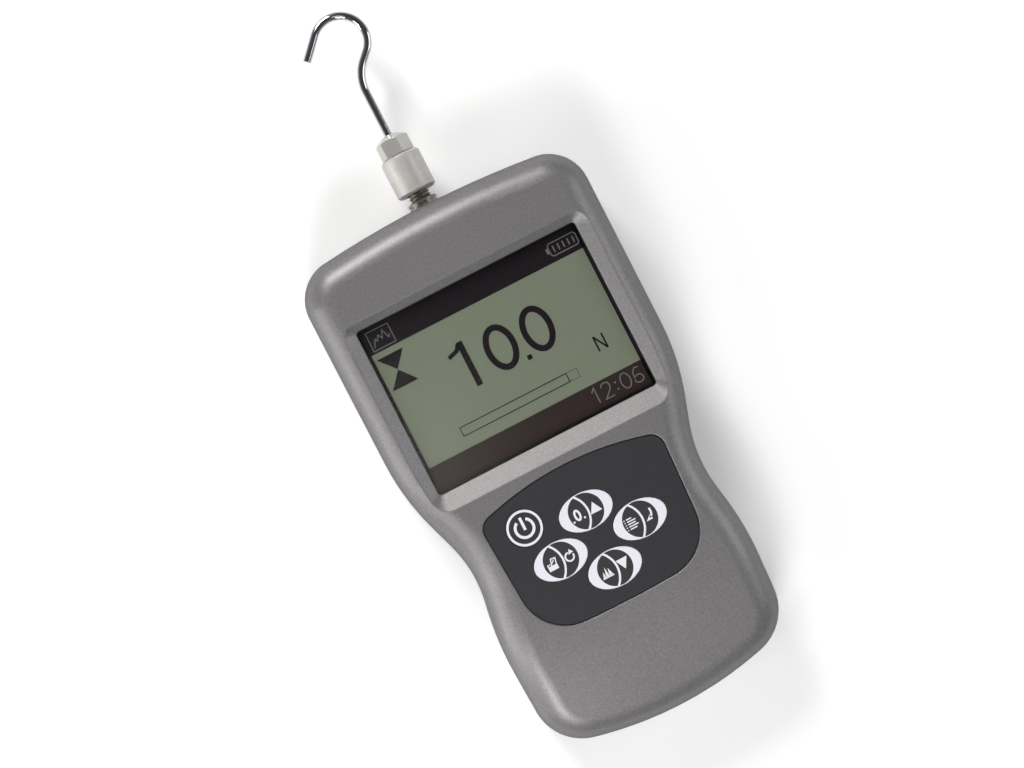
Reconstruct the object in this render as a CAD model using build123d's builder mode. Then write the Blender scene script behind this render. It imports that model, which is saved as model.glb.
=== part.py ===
from build123d import *
import os
from math import asin, cos, degrees, radians, sin

os.makedirs("parts", exist_ok=True)

# Handheld digital force gauge, millimetres. It lies on its back: +Z is out of the front face,
# +Y runs along the body towards the hook, +X is to the right of the display.
# The origin is the centre of the four-hole pattern on the rear face, half way along the body.

# ---------------------------------------------------------------- driving dimensions
# Housing
body_length = 196.0
body_width = 108.8
body_thickness = 40.0
wall = 2.2
split_height = 18.0            # parting plane, and the force axis lies on it
edge_round = 10.0
rear_round = 6.0
cavity_bevel = 5.0             # inner edges are bevelled where the outer ones are round
palm_length = 54.0             # stretch of the front that curves down to the palm end
palm_drop = 7.0

# Outline of the right side, each corner by its distance from an end and from the full width
top_corner_drop = 4.0
top_corner_round = 15.0
shoulder_from_top = 87.55
shoulder_inset = 0.3
shoulder_round = 86.0
waist_from_top = 121.5
waist_inset = 11.45
waist_round = 50.0
hip_from_bottom = 46.55
hip_inset = 6.5
hip_round = 109.0
bottom_corner_rise = 8.3
bottom_corner_inset = 8.1
bottom_corner_round = 18.5

# Seam between the covers
lip_height = 1.0
lip_thickness = 0.9
lip_gap = 0.12
seam_groove = 0.35

# Window and display stack
window_width = 85.0
window_height = 63.3
window_from_top = 60.6
window_corner = 1.5
window_wall = 1.2
bevel_side = 5.6
bevel_top = 2.9
bevel_bottom = 6.6
bevel_drop = 2.5
bevel_corner = 6.0
lens_ledge = 1.8
lens_gap = 0.4
lens_thickness = 1.5
tape_thickness = 0.15
gasket_thickness = 0.35
glass_margin = 2.5
glass_thickness = 2.2
backlight_thickness = 3.1
backlight_standoff = 0.4
contact_ledge = 4.0              # strip of the glass left bare for the ribbon
frame_wall = 1.0
display_ribbon_width = 30.0

# Keypad
keypad_from_top = 102.35
keypad_length = 51.2
keypad_top_width = 69.8
keypad_bottom_width = 65.4
keypad_top_bow = 5.5
keypad_bottom_bow = 1.45
keypad_top_corner = 5.0
keypad_bottom_corner = 17.0
recess_depth = 2.0
recess_floor = 1.8
overlay_gap = 0.35
overlay_thickness = 1.2
overlay_below_face = 0.4
circuit_thickness = 0.4
dome_diameter = 10.0
dome_height = 0.45
dome_slope = 60.0
key_width = 19.7
key_height = 13.2
key_thickness = 0.6
key_travel = 0.3
key_clearance = 0.1
key_centre_drop = 28.5
key_pitch_x = 15.4
key_pitch_y = 11.0
power_key_x = -21.5
power_key_drop = 13.0
power_key_diameter = 13.2
tail_width = 14.0
tail_slot = 1.6
tail_from_keypad_end = 3.6
ribbon_thickness = 0.25

# Main board
board_thickness = 1.6
board_top_width = 80.0
board_handle_width = 66.0
board_end_width = 52.0
board_top_margin = 15.0
board_shoulder_from_top = 99.0
board_step_from_bottom = 27.0
board_end_margin = 7.6
board_post_diameter = 6.0
board_screw_diameter = 2.3
board_screw_length = 7.0
board_screw_head = 4.5
board_screw_inset = 4.0

# Screws that join the covers
cover_screw_diameter = 2.9
cover_screw_head = 5.5
cover_screw_head_height = 2.6
cover_screw_reach = 9.0
screw_head_depth = 5.0
column_diameter = 7.5
cover_screw_insets = ((10.5, 13.0), (16.5, 107.0))   # from the full width, and from the top
lower_screw_from_bottom = 19.0

# Four tapped holes on the rear face
mount_spacing_x = 70.0
mount_spacing_y = 80.0
mount_hole_diameter = 3.3
mount_hole_depth = 8.0
mount_boss_diameter = 9.0

# Load cell, its bracket and the shaft
cell_width = 40.0
cell_length = 44.0
cell_thickness = 15.0
cell_from_top = 17.0
cell_arm = 12.0
cell_slot = 1.8
cell_web = 7.0
cell_eye_diameter = 13.0
gauge_foil = 0.3
shaft_diameter = 8.0
shaft_clearance = 0.1
shaft_travel = 0.25
shaft_stub = 16.5              # stretch of thread beyond the housing
nut_across_flats = 13.0
nut_height = 4.6
bush_flange_diameter = 17.0
bush_flange_length = 3.0
bush_neck_diameter = 10.8
bush_collar_length = 3.0
bush_rib = 2.2
bush_rib_width = 24.0
bracket_width = 32.0
bracket_base = 3.0
bracket_upright = 6.0
bracket_length = 31.0
bracket_pad_height = 7.0
bracket_screw_diameter = 3.9
bracket_screw_head = 7.0
bracket_screw_spacing = 22.0
bracket_screw_rows = (9.0, 19.0)
bolt_diameter = 7.9
bolt_head_diameter = 13.0
bolt_head_height = 5.3
bolt_socket_flats = 6.0

# Hook
sleeve_diameter = 14.6
sleeve_length = 14.4
sleeve_gap = 3.05              # bare thread between the collar and the sleeve
sleeve_chamfer = 0.7
hex_across_flats = 10.8
hex_turn = 14.5
hex_height = 8.1
hex_dome = 2.1
hex_relief = 0.4               # turned groove between the hexagon and the sleeve
wire_diameter = 3.2
wire_socket_depth = 5.0
wire_clearance = 0.05
hook_radius = 9.5
hook_neck_radius = 14.7
hook_neck_angle = 45.0
hook_centre_reach = 65.4       # from the end of the housing to the centre of the hook's curve
hook_mouth_angle = 47.0
hook_tip_length = 10.0

# Batteries and their door
battery_diameter = 14.5
battery_body_length = 49.2
battery_nub_length = 1.3
battery_nub_diameter = 5.5
battery_count = 4
battery_gap = 0.5
battery_lift = 0.55
contact_room = 1.75
contact_thickness = 0.4
tray_wall = 1.5
tray_gap = 0.3
door_width = 59.0
door_flange = 2.0
door_thickness = 2.2
door_overlap = 4.5
door_clearance = 0.15
deck_thickness = 1.5
deck_border = 1.5
grip_count = 6
grip_pitch = 3.0
grip_from_top = 9.0
grip_width = 26.0
grip_taper = 1.6
grip_depth = 0.5
tray_rib = 4.0

# Sockets in the palm end
jack_x = -13.0
jack_width = 9.0
jack_height = 9.6
jack_length = 14.0
jack_axis_below_board = 4.6
jack_bore = 6.4
jack_pin = 2.0
usb_x = 10.0
usb_width = 7.7
usb_height = 4.0
usb_length = 9.0
usb_shell = 0.4
socket_gap = 0.5

# Parts on the board
buzzer_diameter = 12.0
buzzer_height = 6.0
clock_cell_diameter = 20.0
clock_cell_height = 3.2
clock_holder_floor = 0.8
connector_x = -30.0
connector_height = 4.0
connector_width = 5.0
connector_length = 10.0
lead_width = 4.0
lead_thickness = 1.0
terminal_width = 3.0
terminal_x = 24.0

# Clearances
thread_fit = 0.05              # between a screw's shank and its tapped hole, on the radius
screw_clearance = 0.25         # round a shank that passes through
counterbore_clearance = 0.4
board_screw_clearance = 0.15
bracket_clearance = 0.3
bush_fit = 0.1
bush_play = 0.2                # along the axis, on each side of the bush's flange
rib_clearance = 2.0            # round the shaft, behind the bush
sleeve_fit = 0.1
nut_gap = 0.1                  # between the locknut and the load cell, beyond the travel
key_lift = 0.05                # between a key at the end of its travel and its dome
display_frame_gap = 0.3
battery_play = 0.3
column_gap = 0.1               # between the door's channel and the column beside it

# ---------------------------------------------------------------- derived places
half_length = body_length / 2
half_width = body_width / 2
force_axis = Axis((0, 0, split_height), (0, 1, 0))
window_y = half_length - window_from_top
keypad_top_y = half_length - keypad_from_top
key_centre_y = keypad_top_y - key_centre_drop
inner_top_y = half_length - wall
inner_bottom_y = wall - half_length

ledge_z = body_thickness - bevel_drop - window_wall
lens_top_z = ledge_z - tape_thickness
lens_bottom_z = lens_top_z - lens_thickness
glass_top_z = lens_bottom_z - gasket_thickness
glass_bottom_z = glass_top_z - glass_thickness
backlight_bottom_z = glass_bottom_z - backlight_thickness
board_top_z = backlight_bottom_z - backlight_standoff
board_bottom_z = board_top_z - board_thickness
recess_z = body_thickness - recess_depth
circuit_top_z = recess_z + circuit_thickness
overlay_top_z = body_thickness - overlay_below_face
dome_top_z = circuit_top_z + dome_height
key_bottom_z = dome_top_z + key_travel + key_lift

lens_width = window_width + 2 * lens_ledge
lens_height = window_height + 2 * lens_ledge
glass_width = window_width + 2 * glass_margin
glass_height = window_height + 2 * glass_margin
display_frame_width = glass_width + 2 * (display_frame_gap + frame_wall)
display_frame_height = glass_height + 2 * (display_frame_gap + frame_wall)

jack_z = board_bottom_z - jack_axis_below_board
bottom_crown_half = half_width - bottom_corner_inset
bottom_crown_radius = (bottom_crown_half**2 + bottom_corner_rise**2) / (2 * bottom_corner_rise)
jack_face_y = inner_bottom_y + (abs(jack_x) + jack_width / 2) ** 2 / (2 * bottom_crown_radius) + socket_gap
usb_face_y = inner_bottom_y + (abs(usb_x) + usb_width / 2) ** 2 / (2 * bottom_crown_radius) + socket_gap
usb_z = board_bottom_z - usb_height / 2

door_half = door_width / 2 + door_clearance
flange_half = door_width / 2 + door_flange
channel_half = flange_half + door_clearance
channel_z = door_thickness + door_clearance
deck_top_z = channel_z + deck_thickness
battery_pitch = battery_diameter + battery_gap
battery_z = door_thickness + battery_lift + battery_diameter / 2
battery_length = battery_body_length + battery_nub_length
tray_inner_half = battery_length / 2 + contact_room
tray_inner_length = battery_count * battery_pitch + 2 * battery_play
battery_y = jack_face_y + jack_length + tray_gap + tray_wall + tray_inner_length / 2
battery_rows = [battery_y + battery_pitch * (i - (battery_count - 1) / 2) for i in range(battery_count)]
tray_top_z = battery_z + battery_diameter / 2 + battery_play + tray_wall
door_top_y = battery_y + tray_inner_length / 2 + door_overlap

lower_screw_x = channel_half + column_gap + column_diameter / 2
cover_screw_corners = [(half_width - inset, half_length - drop) for inset, drop in cover_screw_insets]
cover_screw_corners.append((lower_screw_x, lower_screw_from_bottom - half_length))
cover_screws_xy = [(side * x, y) for side in (-1, 1) for x, y in cover_screw_corners]

board_top_y = half_length - board_top_margin
board_step_y = half_length - board_shoulder_from_top
board_end_step_y = board_step_from_bottom - half_length
board_end_y = board_end_margin - half_length
board_screw_corners = (
    (board_top_width / 2 - board_screw_inset - 2, board_top_y - board_screw_inset - 1),
    (board_handle_width / 2 - board_screw_inset, board_step_y - board_screw_inset - 2),
    (board_handle_width / 2 - board_screw_inset, board_end_step_y + board_screw_inset + 2),
)
board_screws_xy = [(side * x, y) for side in (-1, 1) for x, y in board_screw_corners]

cell_top_y = half_length - cell_from_top
cell_bottom_y = cell_top_y - cell_length
cell_eye_y = cell_top_y - cell_length / 2
bracket_face_y = cell_bottom_y
bracket_screws_xy = [
    (side * bracket_screw_spacing / 2, bracket_face_y - bracket_upright - row)
    for side in (-1, 1)
    for row in bracket_screw_rows
]
shaft_end_y = cell_top_y - cell_arm + 1.5
shaft_tip_y = half_length + shaft_stub
collar_end_y = half_length + bush_collar_length
sleeve_y = collar_end_y + sleeve_gap
sleeve_end_y = sleeve_y + sleeve_length
hex_end_y = sleeve_end_y + hex_height
hook_centre_y = half_length + hook_centre_reach

bush_rib_y = inner_top_y - 2 * bush_play - bush_flange_length - bush_rib / 2
connector_y = cell_eye_y - 14.0
buzzer_place = (26.0, bracket_face_y - 18.0)
clock_cell_place = (-27.5, bracket_face_y - 19.0)
tail_y = keypad_top_y - keypad_length + tail_from_keypad_end
tail_low_z = board_top_z + 1.4
tail_socket_y = tail_y - 5.0


# ---------------------------------------------------------------- shared forms
def housing_outline(inset=0.0):
    """The body's outline seen from the front, moved in by inset."""
    top_corner = (half_width, half_length - top_corner_drop)
    shoulder = (half_width - shoulder_inset, half_length - shoulder_from_top)
    waist = (half_width - waist_inset, half_length - waist_from_top)
    hip = (half_width - hip_inset, hip_from_bottom - half_length)
    bottom_corner = (half_width - bottom_corner_inset, bottom_corner_rise - half_length)
    side_rounds = (shoulder_round, waist_round, hip_round)
    with BuildSketch() as outline:
        with BuildLine():
            right = FilletPolyline(top_corner, shoulder, waist, hip, bottom_corner, radius=side_rounds)
            mirror(right, about=Plane.YZ)
            ThreePointArc((-top_corner[0], top_corner[1]), (0, half_length), top_corner)
            ThreePointArc((-bottom_corner[0], bottom_corner[1]), (0, -half_length), bottom_corner)
        make_face()
        for corner, radius in ((top_corner, top_corner_round), (bottom_corner, bottom_corner_round)):
            pair = outline.vertices().filter_by_position(Axis.Y, corner[1] - 0.01, corner[1] + 0.01)
            fillet(pair, radius)
        if inset:
            offset(amount=-inset)
    return outline.sketch


def front_block(inset):
    """The front half of the housing as a solid block, moved in by inset on every outer side."""
    top_z = body_thickness - inset
    palm_start_y = palm_length - half_length
    palm_radius = (palm_length**2 + palm_drop**2) / (2 * palm_drop) - inset
    palm_sweep = degrees(asin((palm_length + 3) / (palm_radius + inset))) + 1
    with BuildPart() as block:
        with BuildSketch(Plane.XY.offset(split_height)):
            add(housing_outline(inset))
        extrude(amount=top_z - split_height)
        with BuildSketch(Plane.YZ.offset(-body_width)):
            with BuildLine():
                palm = JernArc((palm_start_y, top_z), (-1, 0), palm_radius, palm_sweep)
                end = palm @ 1
                Polyline(
                    end,
                    (end.X, split_height - 1),
                    (half_length + 1, split_height - 1),
                    (half_length + 1, top_z),
                    (palm_start_y, top_z),
                )
            make_face()
        extrude(amount=2 * body_width, mode=Mode.INTERSECT)
        rim = block.edges().filter_by(lambda edge: edge.center().Z > split_height + edge_round)
        rim = rim.filter_by(Axis.X, reverse=True).filter_by(Axis.Z, reverse=True)
        if inset:
            chamfer(rim, cavity_bevel)
        else:
            fillet(rim, edge_round)
    return block.part


def rear_block(inset):
    """The rear half of the housing as a solid block, moved in by inset on every outer side."""
    with BuildPart() as block:
        with BuildSketch(Plane.XY.offset(inset)):
            add(housing_outline(inset))
        extrude(amount=split_height - inset)
        rim = block.edges().group_by(Axis.Z)[0]
        if inset:
            chamfer(rim, cavity_bevel)
        else:
            fillet(rim, rear_round)
    return block.part


def keypad_outline(margin=0.0):
    """The keypad's outline, bowed at the top and the bottom, moved out by margin."""
    top_corner = (keypad_top_width / 2, keypad_top_y - keypad_top_bow)
    low_y = keypad_top_y - keypad_length
    bottom_corner = (keypad_bottom_width / 2, low_y + keypad_bottom_bow)
    with BuildSketch() as outline:
        with BuildLine():
            ThreePointArc((-top_corner[0], top_corner[1]), (0, keypad_top_y), top_corner)
            Line(top_corner, bottom_corner)
            ThreePointArc(bottom_corner, (0, low_y), (-bottom_corner[0], bottom_corner[1]))
            Line((-bottom_corner[0], bottom_corner[1]), (-top_corner[0], top_corner[1]))
        make_face()
        for corner, radius in ((top_corner, keypad_top_corner), (bottom_corner, keypad_bottom_corner)):
            pair = outline.vertices().filter_by_position(Axis.Y, corner[1] - 0.01, corner[1] + 0.01)
            fillet(pair, radius)
        if margin:
            offset(amount=margin)
    return outline.sketch


def window_frame(width, height, corner, border):
    """A rectangular ring around the window's centre, border wide inside width by height."""
    with BuildSketch() as ring:
        with Locations((0, window_y)):
            RectangleRounded(width, height, corner)
            Rectangle(width - 2 * border, height - 2 * border, mode=Mode.SUBTRACT)
    return ring.sketch


def across_axis(y):
    """A plane square to the force axis at y, looking out of the hook end."""
    return Plane(origin=(0, y, split_height), x_dir=(1, 0, 0), z_dir=(0, 1, 0))


front_outer = front_block(0)
front_core = front_block(wall / 2)
front_cavity = front_block(wall)
rear_outer = rear_block(0)
rear_core = rear_block(wall / 2)
rear_cavity = rear_block(wall)
rear_face = Plane(origin=(0, 0, 0), x_dir=(1, 0, 0), z_dir=(0, 0, -1))

# ---------------------------------------------------------------- housing
# what stands on the inside of the front cover, ending half way through its wall
with BuildPart() as front_ribs:
    # rim that carries the lens, and the thicker floor under the keypad
    with BuildSketch(Plane.XY.offset(lens_bottom_z)):
        with Locations((0, window_y)):
            with Locations((0, (bevel_top - bevel_bottom) / 2)):
                RectangleRounded(window_width + 2 * bevel_side, window_height + bevel_top + bevel_bottom, bevel_corner)
    extrude(amount=body_thickness - lens_bottom_z)
    with BuildSketch(Plane.XY.offset(recess_z - recess_floor)):
        add(keypad_outline(2 * overlay_gap + recess_floor))
    extrude(amount=recess_depth + recess_floor)
    # screw columns, board posts and the rib behind the bush
    with BuildSketch(Plane.XY.offset(split_height)):
        with Locations(*cover_screws_xy):
            Circle(column_diameter / 2)
        with Locations((0, bush_rib_y)):
            Rectangle(bush_rib_width, bush_rib)
    extrude(amount=body_thickness - split_height)
    with BuildSketch(Plane.XY.offset(board_top_z)):
        with Locations(*board_screws_xy):
            Circle(board_post_diameter / 2)
    extrude(amount=body_thickness - board_top_z)
    add(front_core, mode=Mode.INTERSECT)

with BuildPart() as front_cover:
    add(front_outer)
    add(front_cavity, mode=Mode.SUBTRACT)
    add(front_ribs.part)
    # sloped border of the window, its wall and the pocket for the lens
    with BuildSketch(Plane.XY.offset(body_thickness - bevel_drop)):
        with Locations((0, window_y)):
            RectangleRounded(window_width, window_height, window_corner)
    with BuildSketch(Plane.XY.offset(body_thickness + bevel_drop)):
        with Locations((0, window_y + bevel_top - bevel_bottom)):
            RectangleRounded(
                window_width + 4 * bevel_side,
                window_height + 2 * (bevel_top + bevel_bottom),
                2 * bevel_corner - window_corner,
            )
    loft(ruled=True, mode=Mode.SUBTRACT)
    with BuildSketch(Plane.XY.offset(lens_bottom_z)):
        with Locations((0, window_y)):
            RectangleRounded(window_width, window_height, window_corner)
    extrude(amount=body_thickness - lens_bottom_z, mode=Mode.SUBTRACT)
    with BuildSketch(Plane.XY.offset(lens_bottom_z)):
        with Locations((0, window_y)):
            RectangleRounded(lens_width + lens_gap, lens_height + lens_gap, window_corner + lens_ledge)
    extrude(amount=ledge_z - lens_bottom_z, mode=Mode.SUBTRACT)
    # keypad recess and the slot for its ribbon
    with BuildSketch(Plane.XY.offset(recess_z)):
        add(keypad_outline(overlay_gap))
    extrude(amount=recess_depth + 1, mode=Mode.SUBTRACT)
    with BuildSketch(Plane.XY.offset(recess_z - recess_floor - wall)):
        with Locations((0, tail_y)):
            Rectangle(tail_width + 1, tail_slot)
    extrude(amount=recess_floor + 2 * wall, mode=Mode.SUBTRACT)
    # pilot holes in the columns and the posts
    with Locations(Plane.XY.offset(split_height).rotated((180, 0, 0))):
        with Locations(*[(x, -y) for x, y in cover_screws_xy]):
            Hole(cover_screw_diameter / 2 + thread_fit, cover_screw_reach + 1)
    with Locations(Plane.XY.offset(board_top_z).rotated((180, 0, 0))):
        with Locations(*[(x, -y) for x, y in board_screws_xy]):
            Hole(board_screw_diameter / 2 + thread_fit, board_screw_length - board_thickness + 0.5)
    # openings in the end walls
    with BuildSketch(across_axis(inner_top_y - wall)):
        Circle(bush_neck_diameter / 2 + bush_fit)
    extrude(amount=3 * wall, mode=Mode.SUBTRACT)
    with BuildSketch(across_axis(bush_rib_y - bush_rib)):
        Circle(shaft_diameter / 2 + rib_clearance)
    extrude(amount=2 * bush_rib, mode=Mode.SUBTRACT)
    with BuildSketch(across_axis(-half_length - 1)):
        with Locations((jack_x, split_height - jack_z)):
            Circle(jack_bore / 2 + socket_gap / 2)
        with Locations((usb_x, split_height - usb_z)):
            RectangleRounded(usb_width + socket_gap, usb_height + socket_gap, 0.8)
    extrude(amount=wall + 2, mode=Mode.SUBTRACT)
    # groove along the seam, outside
    with BuildSketch(Plane.XY.offset(split_height)):
        add(housing_outline(-seam_groove))
        add(housing_outline(seam_groove), mode=Mode.SUBTRACT)
    extrude(amount=seam_groove, mode=Mode.SUBTRACT)
    # rebate for the rear cover's lip
    with BuildSketch(Plane.XY.offset(split_height)):
        add(housing_outline(wall - lip_thickness - lip_gap))
        add(housing_outline(wall), mode=Mode.SUBTRACT)
    extrude(amount=lip_height + lip_gap, mode=Mode.SUBTRACT)
front_cover.part.label = "front_cover"

# what stands on the inside of the rear cover, starting half way through its wall
with BuildPart() as rear_ribs:
    # deck over the battery door, pad under the bracket, columns, bosses and the rib behind the bush
    with BuildSketch():
        with Locations((0, door_top_y + door_clearance + deck_border)):
            Rectangle(2 * (channel_half + deck_border), body_length, align=(Align.CENTER, Align.MAX))
    extrude(amount=deck_top_z)
    with BuildSketch():
        with Locations((0, bracket_face_y)):
            Rectangle(bracket_width, bracket_length, align=(Align.CENTER, Align.MAX))
    extrude(amount=bracket_pad_height)
    with BuildSketch():
        with GridLocations(mount_spacing_x, mount_spacing_y, 2, 2):
            Circle(mount_boss_diameter / 2)
    extrude(amount=mount_hole_depth + wall)
    with BuildSketch():
        with Locations(*cover_screws_xy):
            Circle(column_diameter / 2)
        with Locations((0, bush_rib_y)):
            Rectangle(bush_rib_width, bush_rib)
    extrude(amount=split_height)
    add(rear_core, mode=Mode.INTERSECT)

with BuildPart() as rear_cover:
    add(rear_outer)
    add(rear_cavity, mode=Mode.SUBTRACT)
    add(rear_ribs.part)
    # lip that fits into the front cover
    with BuildSketch(Plane.XY.offset(split_height)):
        add(housing_outline(wall - lip_thickness))
        add(housing_outline(wall), mode=Mode.SUBTRACT)
    extrude(amount=lip_height)
    # channel for the door, in two widths, and the mouth of the battery bay
    for half, low_z, high_z in (
        (door_half, -1.0, door_thickness / 2 + door_clearance),
        (channel_half, door_thickness / 2, channel_z),
    ):
        with BuildSketch(Plane.XY.offset(low_z)):
            with Locations((0, door_top_y + door_clearance)):
                Rectangle(2 * half, body_length, align=(Align.CENTER, Align.MAX))
        extrude(amount=high_z - low_z, mode=Mode.SUBTRACT)
    with BuildSketch():
        with Locations((0, battery_y)):
            Rectangle(2 * tray_inner_half, tray_inner_length)
    extrude(amount=split_height, mode=Mode.SUBTRACT)
    # screw holes from the rear, the mounting holes and the bracket's threads
    with Locations(rear_face):
        with Locations(*[(x, -y) for x, y in cover_screws_xy]):
            CounterBoreHole(
                cover_screw_diameter / 2 + screw_clearance,
                cover_screw_head / 2 + counterbore_clearance,
                screw_head_depth,
                split_height + 1,
            )
        with GridLocations(mount_spacing_x, mount_spacing_y, 2, 2):
            Hole(mount_hole_diameter / 2, mount_hole_depth)
    with Locations(Plane.XY.offset(bracket_pad_height)):
        with Locations(*bracket_screws_xy):
            Hole(bracket_screw_diameter / 2 + thread_fit, bracket_pad_height - wall / 2)
    # seat of the bush in the end wall
    with BuildSketch(across_axis(inner_top_y - wall)):
        Circle(bush_neck_diameter / 2 + bush_fit)
    extrude(amount=3 * wall, mode=Mode.SUBTRACT)
    with BuildSketch(across_axis(bush_rib_y - bush_rib)):
        Circle(shaft_diameter / 2 + rib_clearance)
    extrude(amount=2 * bush_rib, mode=Mode.SUBTRACT)
rear_cover.part.label = "rear_cover"

with BuildPart() as cover_screws:
    with BuildSketch(Plane.XY.offset(screw_head_depth - cover_screw_head_height)):
        with Locations(*cover_screws_xy):
            Circle(cover_screw_head / 2)
    extrude(amount=cover_screw_head_height)
    with BuildSketch(Plane.XY.offset(screw_head_depth)):
        with Locations(*cover_screws_xy):
            Circle(cover_screw_diameter / 2)
    extrude(amount=split_height + cover_screw_reach - screw_head_depth)
cover_screws.part.label = "cover_screws"

# ---------------------------------------------------------------- window and display
with BuildPart() as display_window:
    with BuildSketch(Plane.XY.offset(lens_bottom_z)):
        with Locations((0, window_y)):
            RectangleRounded(lens_width, lens_height, window_corner + lens_ledge - lens_gap / 2)
    extrude(amount=lens_thickness)
display_window.part.label = "display_window"

with BuildPart() as window_tape:
    with BuildSketch(Plane.XY.offset(lens_top_z)):
        add(window_frame(lens_width - 0.4, lens_height - 0.4, window_corner + lens_ledge, lens_ledge - 0.5))
    extrude(amount=tape_thickness)
window_tape.part.label = "window_tape"

with BuildPart() as display_gasket:
    with BuildSketch(Plane.XY.offset(glass_top_z)):
        add(window_frame(lens_width - 1.4, lens_height - 1.4, lens_ledge, lens_ledge - 0.5))
    extrude(amount=gasket_thickness)
display_gasket.part.label = "display_gasket"

with BuildPart() as lcd_glass:
    with BuildSketch(Plane.XY.offset(glass_bottom_z)):
        with Locations((0, window_y)):
            Rectangle(glass_width, glass_height)
    extrude(amount=glass_thickness)
lcd_glass.part.label = "lcd_glass"

with BuildPart() as lcd_backlight:
    with BuildSketch(Plane.XY.offset(backlight_bottom_z)):
        with Locations((0, window_y + contact_ledge / 2)):
            Rectangle(glass_width - 1, glass_height - contact_ledge - 1)
    extrude(amount=backlight_thickness)
lcd_backlight.part.label = "lcd_backlight"

with BuildPart() as lcd_frame:
    with BuildSketch(Plane.XY.offset(board_top_z)):
        add(window_frame(display_frame_width, display_frame_height, 1.5, frame_wall))
    extrude(amount=glass_top_z - board_top_z)
    with BuildSketch(Plane.XY.offset(glass_top_z)):
        add(window_frame(display_frame_width, display_frame_height, 1.5, frame_wall + 1.7))
    extrude(amount=gasket_thickness - 0.05)
    # gap in the lower side for the display's ribbon
    with BuildSketch(Plane.XY.offset(board_top_z)):
        with Locations((0, window_y - display_frame_height / 2)):
            Rectangle(display_ribbon_width + 2, 4 * frame_wall)
    extrude(amount=glass_bottom_z - board_top_z, mode=Mode.SUBTRACT)
lcd_frame.part.label = "lcd_frame"

ribbon_top_z = glass_bottom_z - ribbon_thickness / 2
ribbon_low_z = board_top_z + 1.0
ribbon_start_y = window_y - glass_height / 2 + contact_ledge - 0.3
ribbon_fold_y = window_y - display_frame_height / 2 - 1.6
display_socket_y = ribbon_fold_y - 3.0
with BuildPart() as lcd_flex:
    with BuildSketch(Plane.YZ.offset(-display_ribbon_width / 2)):
        with BuildLine() as fold:
            FilletPolyline(
                (ribbon_start_y, ribbon_top_z),
                (ribbon_fold_y, ribbon_top_z),
                (ribbon_fold_y, ribbon_low_z),
                (display_socket_y, ribbon_low_z),
                radius=1.0,
            )
        trace(fold.line, ribbon_thickness)
    extrude(amount=display_ribbon_width)
lcd_flex.part.label = "lcd_flex"

# ---------------------------------------------------------------- keypad
key_places = {
    "key_zero_up": (0, key_centre_y + key_pitch_y),
    "key_print_reset": (-key_pitch_x, key_centre_y),
    "key_menu_enter": (key_pitch_x, key_centre_y),
    "key_peak_down": (0, key_centre_y - key_pitch_y),
}
power_place = (power_key_x, keypad_top_y - power_key_drop)

with BuildPart() as keypad_circuit:
    with BuildSketch(Plane.XY.offset(recess_z)):
        add(keypad_outline(-overlay_gap))
    extrude(amount=circuit_thickness)
keypad_circuit.part.label = "keypad_circuit"

with BuildPart() as key_domes:
    with BuildSketch(Plane.XY.offset(circuit_top_z)):
        with Locations(*key_places.values(), power_place):
            Circle(dome_diameter / 2)
    extrude(amount=dome_height, taper=dome_slope)
key_domes.part.label = "key_domes"

with BuildPart() as keypad_overlay:
    with BuildSketch(Plane.XY.offset(overlay_top_z - overlay_thickness)):
        add(keypad_outline())
        with Locations(*key_places.values()):
            Ellipse(key_width / 2 + key_clearance, key_height / 2 + key_clearance, mode=Mode.SUBTRACT)
        with Locations(power_place):
            Circle(power_key_diameter / 2 + key_clearance, mode=Mode.SUBTRACT)
    extrude(amount=overlay_thickness)
keypad_overlay.part.label = "keypad_overlay"

with BuildPart() as keypad_tail:
    with BuildSketch(Plane.YZ.offset(-tail_width / 2)):
        with BuildLine() as drop:
            FilletPolyline(
                (tail_y, recess_z),
                (tail_y, tail_low_z),
                (tail_socket_y, tail_low_z),
                radius=1.5,
            )
        trace(drop.line, ribbon_thickness)
    extrude(amount=tail_width)
keypad_tail.part.label = "keypad_tail"

keys = {}
for name, place in key_places.items():
    with BuildPart() as key:
        with BuildSketch(Plane.XY.offset(key_bottom_z)):
            with Locations(place):
                Ellipse(key_width / 2, key_height / 2)
        extrude(amount=key_thickness)
        chamfer(key.edges().group_by(Axis.Z)[-1], key_thickness / 4)
    key.part.label = name
    keys[name] = key.part

with BuildPart() as key_power:
    with BuildSketch(Plane.XY.offset(key_bottom_z)):
        with Locations(power_place):
            Circle(power_key_diameter / 2)
    extrude(amount=key_thickness)
    chamfer(key_power.edges().group_by(Axis.Z)[-1], key_thickness / 4)
key_power.part.label = "key_power"
keys["key_power"] = key_power.part

# ---------------------------------------------------------------- main board
with BuildPart() as main_board:
    with BuildSketch(Plane.XY.offset(board_bottom_z)):
        for width, high_y, low_y in (
            (board_top_width, board_top_y, board_step_y),
            (board_handle_width, board_step_y, board_end_step_y),
            (board_end_width, board_end_step_y, board_end_y),
        ):
            with Locations((0, high_y)):
                Rectangle(width, high_y - low_y, align=(Align.CENTER, Align.MAX))
        with Locations(*board_screws_xy):
            Circle(board_screw_diameter / 2 + board_screw_clearance, mode=Mode.SUBTRACT)
    extrude(amount=board_thickness)
main_board.part.label = "main_board"

with BuildPart() as board_screws:
    with BuildSketch(Plane.XY.offset(board_bottom_z)):
        with Locations(*board_screws_xy):
            Circle(board_screw_diameter / 2)
    extrude(amount=board_screw_length)
    with BuildSketch(Plane.XY.offset(board_bottom_z)):
        with Locations(*board_screws_xy):
            Circle(board_screw_head / 2)
    extrude(amount=-board_screw_diameter * 0.7)
board_screws.part.label = "board_screws"

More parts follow.
